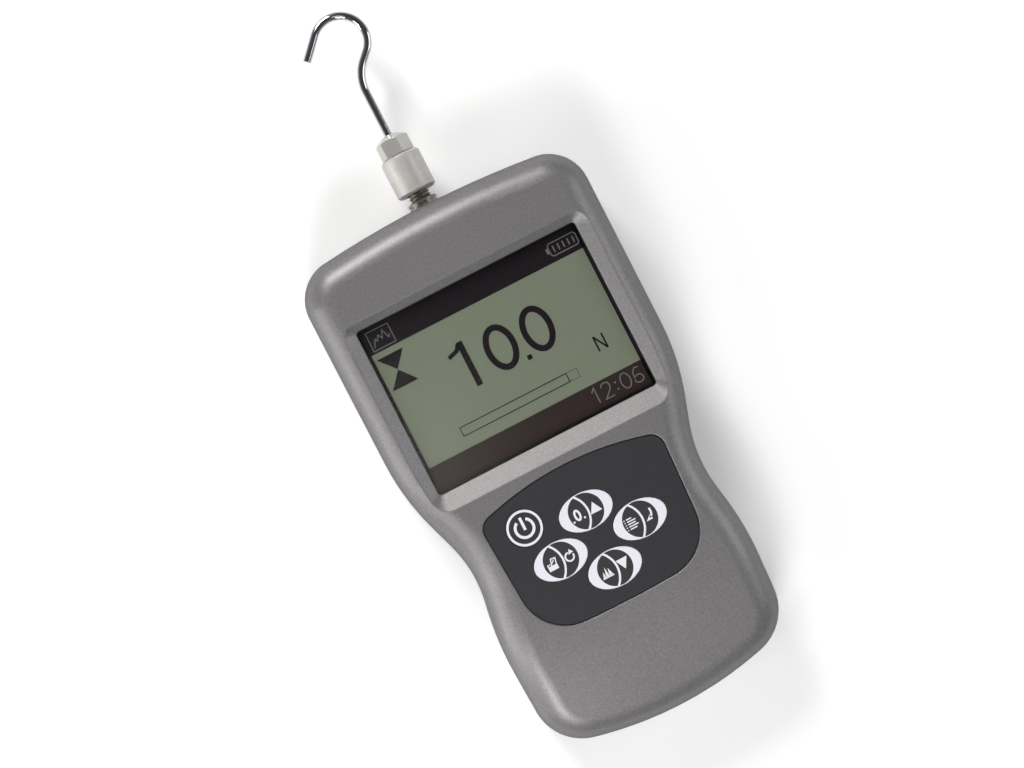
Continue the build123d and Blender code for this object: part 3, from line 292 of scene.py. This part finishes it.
nodeFinish = {
    "bodyPaint": ("front_cover", "rear_cover"),
    "doorPaint": ("battery_door",),
    "overlayFilm": ("keypad_overlay", "key_power"),
    "keyFilm": ("key_zero_up", "key_print_reset", "key_menu_enter", "key_peak_down"),
    "clearWindow": ("display_window",),
    "lcdGround": ("lcd_glass",),
    "whitePlastic": ("lcd_backlight",),
    "foam": ("window_tape", "display_gasket"),
    "pressedSteel": ("lcd_frame", "key_domes", "clock_cell", "usb_socket", "battery_plates",
                     "battery_springs", "battery_terminals"),
    "amberFlex": ("lcd_flex", "keypad_circuit", "keypad_tail", "strain_gauges"),
    "greenBoard": ("main_board",),
    "blackPlastic": ("board_chips", "buzzer", "clock_cell_holder", "power_socket", "cell_connector",
                     "battery_tray"),
    "zincScrew": ("cover_screws", "board_screws", "bracket_screws", "cell_bolt", "shaft_locknut"),
    "anodised": ("load_cell", "cell_bracket"),
    "greyLead": ("load_cell_lead",),
    "cellSleeve": ("battery_cells",),
    "dullSteel": ("guide_bush", "measuring_shaft"),
    "satinNickel": ("hook_sleeve",),
    "brightNickel": ("hook_hex_base",),
    "brightChrome": ("hook_wire",),
}
for finishName, names in nodeFinish.items():
    for name in names:
        mesh = nodes[name].data
        mesh.materials.clear()
        mesh.materials.append(finishes[finishName])
print("materials assigned")


# mesh helpers

plate = {
    "mitreLimit": 0.4,  # cosine of half a corner's turn, below which its mitre stops growing
    "discPoints": 72,
}


def addMesh(name, points, faces, material, body, smooth=None):
    # a piece from points in metres and faces, shaded smooth below an angle in degrees if one is given
    mesh = bpy.data.meshes.new(name)
    mesh.from_pydata(points.tolist(), [], faces)
    mesh.validate()
    mesh.materials.append(finishes[material])
    piece = bpy.data.objects.new(name, mesh)
    bpy.context.collection.objects.link(piece)
    if smooth is not None:
        mesh.shade_smooth()
        mesh.set_sharp_from_angle(angle=math.radians(smooth))
    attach(piece, body)
    return piece


def gridFaces(rows, columns):
    # quads between neighbouring rows and columns of a grid whose last column meets its first
    row = np.arange(rows - 1)[:, None]
    column = np.arange(columns)[None, :]
    nextColumn = (column + 1) % columns
    a = row * columns + column
    b = row * columns + nextColumn
    c = (row + 1) * columns + nextColumn
    d = (row + 1) * columns + column
    return np.stack([a, b, c, d], axis=-1).reshape(-1, 4).tolist()


def fanFaces(middle, rim):
    # triangles from a middle point to each pair of neighbours round a rim
    return np.stack([np.full(len(rim), middle), rim, np.roll(rim, -1)], axis=1).tolist()


def wallFaces(count):
    # quads between an upper rim and the lower rim that follows it
    here = np.arange(count)
    after = np.roll(here, -1)
    return np.stack([here, count + here, count + after, after], axis=1).tolist()


def raised(outline, height):
    # flat points lifted to a height
    return np.column_stack([outline, np.full(len(outline), height)])


def plateAlong(path, width, low, high, closed=False):
    # a rectangular section carried along a flat path: four corners at every path point,
    # set off to each side by half the width along the mitre
    if closed:
        before = path - np.roll(path, 1, axis=0)
        after = np.roll(path, -1, axis=0) - path
    else:
        steps = np.diff(path, axis=0)
        before = np.vstack([steps[:1], steps])
        after = np.vstack([steps, steps[-1:]])
    before /= np.linalg.norm(before, axis=1, keepdims=True)
    after /= np.linalg.norm(after, axis=1, keepdims=True)
    mitre = before + after
    mitre /= np.linalg.norm(mitre, axis=1, keepdims=True)
    stretch = 1 / np.maximum((mitre * before).sum(axis=1), plate["mitreLimit"])
    side = np.stack([-mitre[:, 1], mitre[:, 0]], axis=1) * (width / 2 * stretch)[:, None]
    left, right = path + side, path - side
    corners = [raised(right, high), raised(left, high), raised(left, low), raised(right, low)]
    rings = np.stack(corners, axis=1)
    if closed:
        rings = np.vstack([rings, rings[:1]])
    faces = gridFaces(len(rings), 4)
    if not closed:
        last = 4 * (len(path) - 1)
        faces += [[3, 2, 1, 0], [last, last + 1, last + 2, last + 3]]
    return rings.reshape(-1, 3), faces


def plateDisc(centre, radius, low, high):
    # a thin round plate: an upper rim, a lower rim, and a middle point above and below
    count = plate["discPoints"]
    angle = np.linspace(0, 2 * math.pi, count, endpoint=False)
    ring = np.stack([centre[0] + radius * np.cos(angle), centre[1] + radius * np.sin(angle)], axis=1)
    points = np.vstack([raised(ring, high), raised(ring, low), raised([centre], high), raised([centre], low)])
    rim = np.arange(count)
    above = fanFaces(2 * count, rim)
    below = fanFaces(2 * count + 1, (count + rim)[::-1])
    return points, [*above, *wallFaces(count), *below]


def plateOf(outline, low, high):
    # a thin plate over a convex outline given anticlockwise
    count = len(outline)
    points = np.vstack([raised(outline, high), raised(outline, low)])
    above = list(range(count))
    below = list(range(2 * count - 1, count - 1, -1))
    return points, [above, below, *wallFaces(count)]


def arcPath(centre, radiusX, radiusY, start, end, count):
    # points round an ellipse from one angle to another, in degrees
    angle = np.radians(np.linspace(start, end, count))
    return np.stack([centre[0] + radiusX * np.cos(angle), centre[1] + radiusY * np.sin(angle)], axis=1)


def ovalPath(centre, radiusX, radiusY, count):
    # a whole ellipse, without the last point, which would repeat the first
    return arcPath(centre, radiusX, radiusY, 0, 360, count + 1)[:-1]


def boxPath(x0, y0, x1, y1):
    # the corners of a rectangle, anticlockwise
    return [(x0, y0), (x1, y0), (x1, y1), (x0, y1)]


def stroke(path, width, closed=False):
    # a mark drawn as a line of some width
    return path, width, closed


def area(outline):
    # a mark filled to its outline
    return outline, None, True


def platesAt(marks, place, low, high):
    # a thin plate for each mark, with the mark's own origin set at a place
    plates = []
    for path, width, closed in marks:
        path = np.asarray(path, float) + place
        if width is None:
            plates.append(plateOf(path, low, high))
        else:
            plates.append(plateAlong(path, width, low, high, closed))
    return plates


def addPrint(name, plates, material, body):
    # several thin plates, in millimetres, as one piece
    points, faces, start = [], [], 0
    for platePoints, plateFaces in plates:
        points.append(platePoints)
        faces += [[start + i for i in face] for face in plateFaces]
        start += len(platePoints)
    return addMesh(name, np.vstack(points) * mm, faces, material, body)


# display picture

display = {
    "place": (0.5, boxOf("display_window")[2][1]),  # the picture sits a little right of the axis
    "low": 34.28,
    "high": 34.34,
    "overHigh": 34.38,  # for signs that lie on a bar
    "border": 2.6,  # line widths, from here to the clock; this first one is the display's dark rim with painted shade
    "digit": 2.2,
    "flag": 1.5,
    "unit": 0.62,
    "loadBar": 0.34,
    "graph": 0.34,
    "graphFrame": 0.32,
    "battery": 0.4,
    "charge": 0.5,
    "clock": 0.42,
    "dotLength": 0.35,
    "dotHalf": 0.15,
    "colonHalf": 0.3,
}

# a dark band that reaches under the window's edges, partly the display's own dark rim and partly painted
# shade from the window's inner wall, and a dark bar along its top and its bottom
borderMarks = [stroke(boxPath(-42.95, -32.0, 42.05, 32.0), display["border"], True)]
topBarMarks = [area(boxPath(-42.3, 22.1, 42.3, 31.2))]
bottomBarMarks = [area(boxPath(-42.3, -31.2, 42.3, -21.6))]

readingSigns = {
    "hourglass": [
        area([(-35.6, 14.0), (-30.6, 19.9), (-40.7, 19.9)]),
        area([(-40.7, 7.8), (-30.6, 7.8), (-35.6, 13.8)]),
    ],
    "one": [
        stroke([(-12.6, -4.0), (-12.6, 12.8)], display["digit"]),
        stroke([(-13.2, 12.3), (-14.6, 10.2), (-18.3, 9.1)], display["flag"]),
    ],
    "zeros": [stroke(ovalPath((x, 4.4), 4.65, 7.3, 64), display["digit"], True) for x in (-0.35, 13.85)],
    "point": [area(boxPath(6.15, -4.1, 7.85, -2.4))],
    "unit": [
        stroke([(29.6, -12.6), (29.6, -7.0)], display["unit"]),
        stroke([(32.8, -12.6), (32.8, -7.0)], display["unit"]),
        stroke([(29.6, -7.1), (32.8, -12.5)], display["unit"]),
    ],
    "loadBar": [stroke(boxPath(-25.9, -17.2, 15.5, -14.0), display["loadBar"], True)],
    "barDots": [
        area(boxPath(x, y - display["dotHalf"], x + display["dotLength"], y + display["dotHalf"]))
        for x in (16.1, 16.9, 17.7, 18.5, 19.3)
        for y in (-14.0, -17.2)
    ],
    "endDots": [area(boxPath(19.4, y, 19.7, y + display["dotLength"])) for y in (-16.6, -15.8, -15.0, -14.2)],
}

smallSigns = {
    "graph": [
        stroke(boxPath(-40.1, 23.0, -31.6, 29.9), display["graphFrame"], True),
        stroke([(-39.2, 24.0), (-37.9, 26.8), (-37.3, 25.8), (-36.3, 27.6), (-35.4, 26.0), (-34.4, 28.6),
                (-33.2, 25.4), (-32.4, 26.4)], display["graph"]),
    ],
    "battery": [
        stroke([(30.6, 24.1), (39.9, 24.1), (40.6, 24.8), (40.6, 28.0), (39.9, 28.7), (30.6, 28.7),
                (29.9, 28.0), (29.9, 24.8)], display["battery"], True),
        area(boxPath(28.8, 25.4, 29.6, 27.4)),
    ],
    "charge": [stroke([(x, 25.2), (x, 27.6)], display["charge"]) for x in (31.6, 33.5, 35.4, 37.3, 39.2)],
    "clockOne": [stroke([(21.6, -28.5), (21.6, -22.9), (20.3, -24.3)], display["clock"])],
    "clockTwo": [
        stroke([(24.0, -24.2), (24.4, -23.2), (25.6, -22.9), (26.9, -23.3), (27.2, -24.6), (26.6, -26.0),
                (24.0, -28.4), (27.4, -28.4)], display["clock"]),
    ],
    "colon": [
        area(boxPath(29.0, y - display["colonHalf"], 29.6, y + display["colonHalf"])) for y in (-24.6, -27.2)
    ],
    "clockZero": [stroke(ovalPath((32.9, -25.7), 1.75, 2.75, 40), display["clock"], True)],
    "clockSix": [
        stroke(ovalPath((37.5, -27.1), 1.6, 1.4, 32), display["clock"], True),
        stroke([(38.9, -23.3), (37.4, -23.0), (36.3, -24.4), (35.95, -26.9)], display["clock"]),
    ],
}


def addDisplayPiece(name, marks, material, height):
    # one piece on the display, from marks around the middle of the picture
    plates = platesAt(marks, display["place"], display["low"], display[height])
    addPrint(name, plates, material, "housing")


# the dark rim round the picture, which also carries painted shade from the window's inner wall
addDisplayPiece("display_border", borderMarks, "lcdDark", "high")
addDisplayPiece("display_top_bar", topBarMarks, "lcdDark", "high")
addDisplayPiece("display_bottom_bar", bottomBarMarks, "lcdBrown", "high")
addDisplayPiece("display_reading", sum(readingSigns.values(), []), "lcdDark", "high")
addDisplayPiece("display_small_signs", sum(smallSigns.values(), []), "lcdPale", "overHigh")
print("display picture made")


# key print

keyPrint = {
    "base": 39.77,
    "dark": 39.82,
    "white": 39.85,
    "groundRadius": 6.3,
    "leftAside": 3.3,
    "rightAside": 3.2,
}

menuRows = ((1.8, 2.0), (0.9, 3.2), (0.0, 2.9), (-0.9, 3.6), (-1.8, 2.6))  # height and length
menuRow = {
    "lineStart": -1.3,
    "lineHalf": 0.22,
    "dotStart": -2.3,
    "dotEnd": -1.85,
    "dotHalf": 0.19,
}


def menuMarks():
    # five lines of mixed length, each with a dot before it
    marks = []
    for y, length in menuRows:
        start, half = menuRow["lineStart"], menuRow["lineHalf"]
        marks.append(area(boxPath(start, y - half, start + length, y + half)))
        half = menuRow["dotHalf"]
        marks.append(area(boxPath(menuRow["dotStart"], y - half, menuRow["dotEnd"], y + half)))
    return marks


keySigns = {
    "zero": [
        stroke(ovalPath((0, 0), 0.88, 1.72, 32), 0.78, True),
        area(boxPath(-2.35, -2.1, -1.7, -1.4)),
        area(boxPath(1.7, -2.1, 2.35, -1.4)),
    ],
    "up": [area([(-2.15, -1.95), (2.15, -1.95), (0, 1.95)])],
    # a filled tray with a sheet leaning out of it
    "save": [
        area(boxPath(-1.9, -2.1, 1.6, -0.35)),
        stroke([(-1.7, -0.4), (-1.7, 0.25), (-0.8, 0.25)], 0.4),
        stroke([(-0.5, -0.4), (0.2, 1.9), (1.8, 1.75), (1.3, -0.3)], 0.42),
        stroke([(-0.2, 0.2), (0.5, 0.75), (1.0, 1.35)], 0.36),
    ],
    # an open ring with an arrow head at its upper right
    "turn": [
        stroke(arcPath((0, -0.35), 1.5, 1.5, 18, -272, 33), 0.62),
        area([(-0.05, 0.35), (1.9, 0.75), (0.75, 2.2)]),
    ],
    "menu": menuMarks(),
    # a curved stem that swings left into an arrow head
    "enter": [
        stroke([(1.2, 2.0), (1.25, 0.5), (0.9, -0.5), (0.1, -1.1)], 0.72),
        area([(0.4, -0.1), (-1.6, -1.9), (0.9, -1.9)]),
    ],
    # three peaks of mixed height on a base
    "peaks": [
        area([(-2.2, -2.0), (2.1, -2.0), (1.8, -1.3), (-1.9, -1.3)]),
        area([(-1.9, -1.4), (-0.9, -1.4), (-1.2, 0.6)]),
        area([(-0.9, -1.4), (0.35, -1.4), (-0.1, 1.9)]),
        area([(0.35, -1.4), (1.8, -1.4), (0.9, 1.2)]),
    ],
    "down": [area([(0, -1.95), (2.15, 1.95), (-2.15, 1.95)])],
    # the dividing line bows to the right and ends inside the dark disc
    "divider": [stroke(arcPath((-7.3, 0), 8.1, 8.4, 47, -47, 33), 0.75)],
    # an outer ring, a broken inner ring, and a bar that rises through its gap
    "power": [
        stroke(ovalPath((0, 0), 5.9, 5.9, 96), 0.86, True),
        stroke(arcPath((0, 0), 3.25, 3.25, 122, 418, 49), 1.0),
        stroke([(0, -0.7), (0, 4.0)], 1.0),
    ],
}

keyFaces = {
    "key_zero_up": ("zero", "up"),
    "key_print_reset": ("save", "turn"),
    "key_menu_enter": ("menu", "enter"),
    "key_peak_down": ("peaks", "down"),
}


def keyPlates(sign, x, y):
    # a sign's plates, with the sign's own middle at x and y
    return platesAt(keySigns[sign], (x, y), keyPrint["base"], keyPrint["white"])


def addKeyFace(name, leftSign, rightSign):
    # a dark disc in the middle of the key, a dividing line over it, and a sign to each side of the line
    x, y = boxOf(name)[2][:2]
    ground = plateDisc((x, y), keyPrint["groundRadius"], keyPrint["base"], keyPrint["dark"])
    addPrint(name + "_ground", [ground], "printDark", name)
    left = keyPlates(leftSign, x - keyPrint["leftAside"], y)
    right = keyPlates(rightSign, x + keyPrint["rightAside"], y)
    addPrint(name + "_signs", [*keyPlates("divider", x, y), *left, *right], "printWhite", name)


for name, signs in keyFaces.items():
    addKeyFace(name, *signs)
powerX, powerY = boxOf("key_power")[2][:2]
addPrint("key_power_signs", keyPlates("power", powerX, powerY), "printWhite", "key_power")
print("key print made")


# threaded shaft

shaftLow, shaftHigh, shaftMiddle = boxOf("measuring_shaft")
shaft = {
    "axisZ": shaftMiddle[2],
    "low": shaftLow[1],
    "high": shaftHigh[1],
    "radius": 4.0,
    "root": 3.45,
    "pitch": 1.25,
    "lead": 0.6,
    "around": 64,
    "perPitch": 12,
    "rise": 0.14,  # where the flanks begin, and how long one is, in shares of the pitch
    "fall": 0.56,
    "flank": 0.3,
    "sharp": 35,
}


def threadShape(phase):
    # height of the thread over one pitch: flat root, straight rising flank, flat crest, falling flank
    up = np.clip((phase - shaft["rise"]) / shaft["flank"], 0, 1)
    down = np.clip((phase - shaft["fall"]) / shaft["flank"], 0, 1)
    return up - down


def addThreadedShaft():
    # rings of points along the shaft; each point's radius follows the thread at its own angle and place,
    # and fades to the root towards both ends
    rows = int((shaft["high"] - shaft["low"]) / shaft["pitch"] * shaft["perPitch"]) + 1
    along = np.linspace(shaft["low"], shaft["high"], rows)
    angle = np.linspace(0, 2 * math.pi, shaft["around"], endpoint=False)
    place = along[:, None] / shaft["pitch"] - angle[None, :] / (2 * math.pi)
    height = threadShape(np.mod(place, 1.0))
    ends = np.minimum(along - shaft["low"], shaft["high"] - along) / shaft["lead"]
    radius = shaft["root"] + (shaft["radius"] - shaft["root"]) * height * np.clip(ends, 0, 1)[:, None]
    points = np.zeros((rows, shaft["around"], 3))
    points[..., 0] = radius * np.cos(angle)
    points[..., 1] = along[:, None]
    points[..., 2] = shaft["axisZ"] - radius * np.sin(angle)
    points = points.reshape(-1, 3)
    caps = np.array([[0, shaft["low"], shaft["axisZ"]], [0, shaft["high"], shaft["axisZ"]]])
    rim = np.arange(shaft["around"])
    lowCap = fanFaces(len(points), rim[::-1])
    highCap = fanFaces(len(points) + 1, (rows - 1) * shaft["around"] + rim)
    faces = [*gridFaces(rows, shaft["around"]), *lowCap, *highCap]
    piece = addMesh("shaft_thread", np.vstack([points, caps]) * mm, faces, "dullSteel", "shaft",
                    shaft["sharp"])
    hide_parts("measuring_shaft")


addThreadedShaft()
print("shaft thread cut")


# setting and lights

studio = {
    "half": 4.0,
    "gap": 0.0003,  # the floor lies a hair under the back, so that the two faces don't meet
    "near": 0.001,
    "floorTone": (0.86, 0.86, 0.86, 1),
    "floorRoughness": 0.9,
    "floorGlow": 0.25,
    "skyColour": (0.95, 0.96, 1.0, 1),
    "horizon": 0.38,
    "overhead": 0.06,
    "overheadFrom": 0.75,  # the upward part of the direction where the sky stops darkening
}

aim = (0.0, 0.03, 0.02)
lamps = {
    "hookEndLight": dict(place=(-0.15, 1.15, 0.98), target=aim, size=(0.5, 0.5), power=13.0,
                         colour=(1.0, 0.99, 0.97)),
    "leftLight": dict(place=(-1.40, 0.0, 0.30), target=aim, size=(0.45, 0.45), power=3.4,
                      colour=(1.0, 0.99, 0.98)),
    "slopeLight": dict(place=(-1.10, -0.15, 0.78), target=aim, size=(0.4, 0.4), power=3.0,
                       colour=(1.0, 0.99, 0.98)),
    "palmLight": dict(place=(-0.30, -0.40, 0.60), target=(-0.02, -0.06, 0.02), size=(0.25, 0.25), power=2.6,
                      colour=(1.0, 0.99, 0.98)),
    "fillLight": dict(place=(1.05, -0.1, 0.80), target=aim, size=(0.7, 0.7), power=3.4,
                      colour=(0.97, 0.98, 1.0)),
    # a weak card high overhead, placed for the display's lens to mirror
    "cardLight": dict(place=(-0.06, -0.10, 1.8), target=(-0.06, -0.10, 0.0), size=(0.16, 0.34), power=0.30,
                      colour=(1.0, 0.98, 0.92)),
}

# nearly straight down on the front, from a little to its left by the yaw, and rolled so that the hook
# points to the upper left
view = {
    "roll": 27.25,
    "yaw": 3.0,
    "target": (-0.0026, 0.0287, 0.040),
    "distance": 0.900,
    "lens": 91.9,
    "sensor": 36.0,
    "nearest": 0.05,
    "farthest": 50,
}


def seenBy(tree, strength):
    # the strength for camera, glossy and transmission rays, and nothing for the rest
    path = tree.nodes.new("ShaderNodeLightPath")
    seen = mathNode(tree, "MAXIMUM", path.outputs["Is Camera Ray"], path.outputs["Is Glossy Ray"])
    seen = mathNode(tree, "MAXIMUM", seen, path.outputs["Is Transmission Ray"])
    return mathNode(tree, "MULTIPLY", seen, strength)


def makeFloorMaterial():
    # pale and matt; its glow and its openness follow the kind of ray that meets it
    material = bpy.data.materials.new("paleFloor")
    material.use_nodes = True
    tree = material.node_tree
    shader = tree.nodes["Principled BSDF"]
    shader.inputs["Base Color"].default_value = studio["floorTone"]
    shader.inputs["Roughness"].default_value = studio["floorRoughness"]
    shader.inputs["Specular IOR Level"].default_value = 0.0
    # seen directly, mirrored or through glass the floor glows a little, which lifts it to white,
    # and it still takes the shadow
    tree.links.new(seenBy(tree, studio["floorGlow"]), shader.inputs["Emission Strength"])
    shader.inputs["Emission Color"].default_value = (1, 1, 1, 1)
    # open from beneath, and to light that starts less than a millimetre away, so the back can be looked at
    under = tree.nodes.new("ShaderNodeNewGeometry").outputs["Backfacing"]
    travelled = tree.nodes.new("ShaderNodeLightPath").outputs["Ray Length"]
    near = mathNode(tree, "LESS_THAN", travelled, studio["near"])
    solid = mathNode(tree, "SUBTRACT", 1.0, mathNode(tree, "MAXIMUM", under, near))
    tree.links.new(solid, shader.inputs["Alpha"])
    return material


def addFloor():
    # one square under the object
    height = float(cadBounds[0][2]) - studio["gap"]
    points = raised(np.array(boxPath(-1, -1, 1, 1)) * studio["half"], height)
    mesh = bpy.data.meshes.new("floor")
    mesh.from_pydata(points.tolist(), [], [[0, 1, 2, 3]])
    mesh.materials.append(makeFloorMaterial())
    floor = bpy.data.objects.new("floor", mesh)
    bpy.context.collection.objects.link(floor)


def makeSky():
    # a dim sky whose strength falls evenly with the upward part of the direction; the camera alone
    # sees plain white, and what the metal and glass mirror is the dim sky
    world = bpy.data.worlds.new("studio")
    bpy.context.scene.world = world
    world.use_nodes = True
    tree = world.node_tree
    background = tree.nodes["Background"]
    background.inputs["Color"].default_value = studio["skyColour"]
    direction = tree.nodes.new("ShaderNodeTexCoord").outputs["Generated"]
    parts = tree.nodes.new("ShaderNodeSeparateXYZ")
    tree.links.new(direction, parts.inputs[0])
    slope = tree.nodes.new("ShaderNodeMapRange")
    tree.links.new(parts.outputs["Z"], slope.inputs["Value"])
    slope.inputs["From Min"].default_value = 0.0
    slope.inputs["From Max"].default_value = studio["overheadFrom"]
    slope.inputs["To Min"].default_value = studio["horizon"]
    slope.inputs["To Max"].default_value = studio["overhead"]
    camera = tree.nodes.new("ShaderNodeLightPath").outputs["Is Camera Ray"]
    level = mathNode(tree, "MAXIMUM", slope.outputs["Result"], camera)
    tree.links.new(level, background.inputs["Strength"])


def addLight(name, place, target, size, power, colour):
    # a rectangular lamp at a place, turned so that it shines at its target
    light = bpy.data.lights.new(name, "AREA")
    light.shape = "RECTANGLE"
    light.size, light.size_y = size
    light.energy = power
    light.color = colour
    lamp = bpy.data.objects.new(name, light)
    lamp.location = place
    lamp.rotation_mode = "QUATERNION"
    lamp.rotation_quaternion = (Vector(target) - Vector(place)).to_track_quat("-Z", "Y")
    bpy.context.collection.objects.link(lamp)


def addCamera():
    # the back axis leans by the yaw, the right axis turns by the roll and is squared to it
    roll = math.radians(view["roll"])
    yaw = math.radians(view["yaw"])
    right = Vector((math.cos(roll), -math.sin(roll), 0))
    back = Vector((-math.sin(yaw), 0, math.cos(yaw)))
    right = (right - back * right.dot(back)).normalized()
    up = back.cross(right)
    lens = bpy.data.cameras.new("camera")
    lens.lens = view["lens"]
    lens.sensor_width = view["sensor"]
    lens.clip_start, lens.clip_end = view["nearest"], view["farthest"]
    camera = bpy.data.objects.new("camera", lens)
    turn = Matrix((right, up, back)).transposed()
    place = Vector(view["target"]) + back * view["distance"]
    camera.matrix_world = Matrix.Translation(place) @ turn.to_4x4()
    bpy.context.collection.objects.link(camera)
    bpy.context.scene.camera = camera


addFloor()
makeSky()
for name, values in lamps.items():
    addLight(name, **values)
addCamera()
bpy.context.scene.view_settings.view_transform = "Standard"
print("setting, lights and camera made")
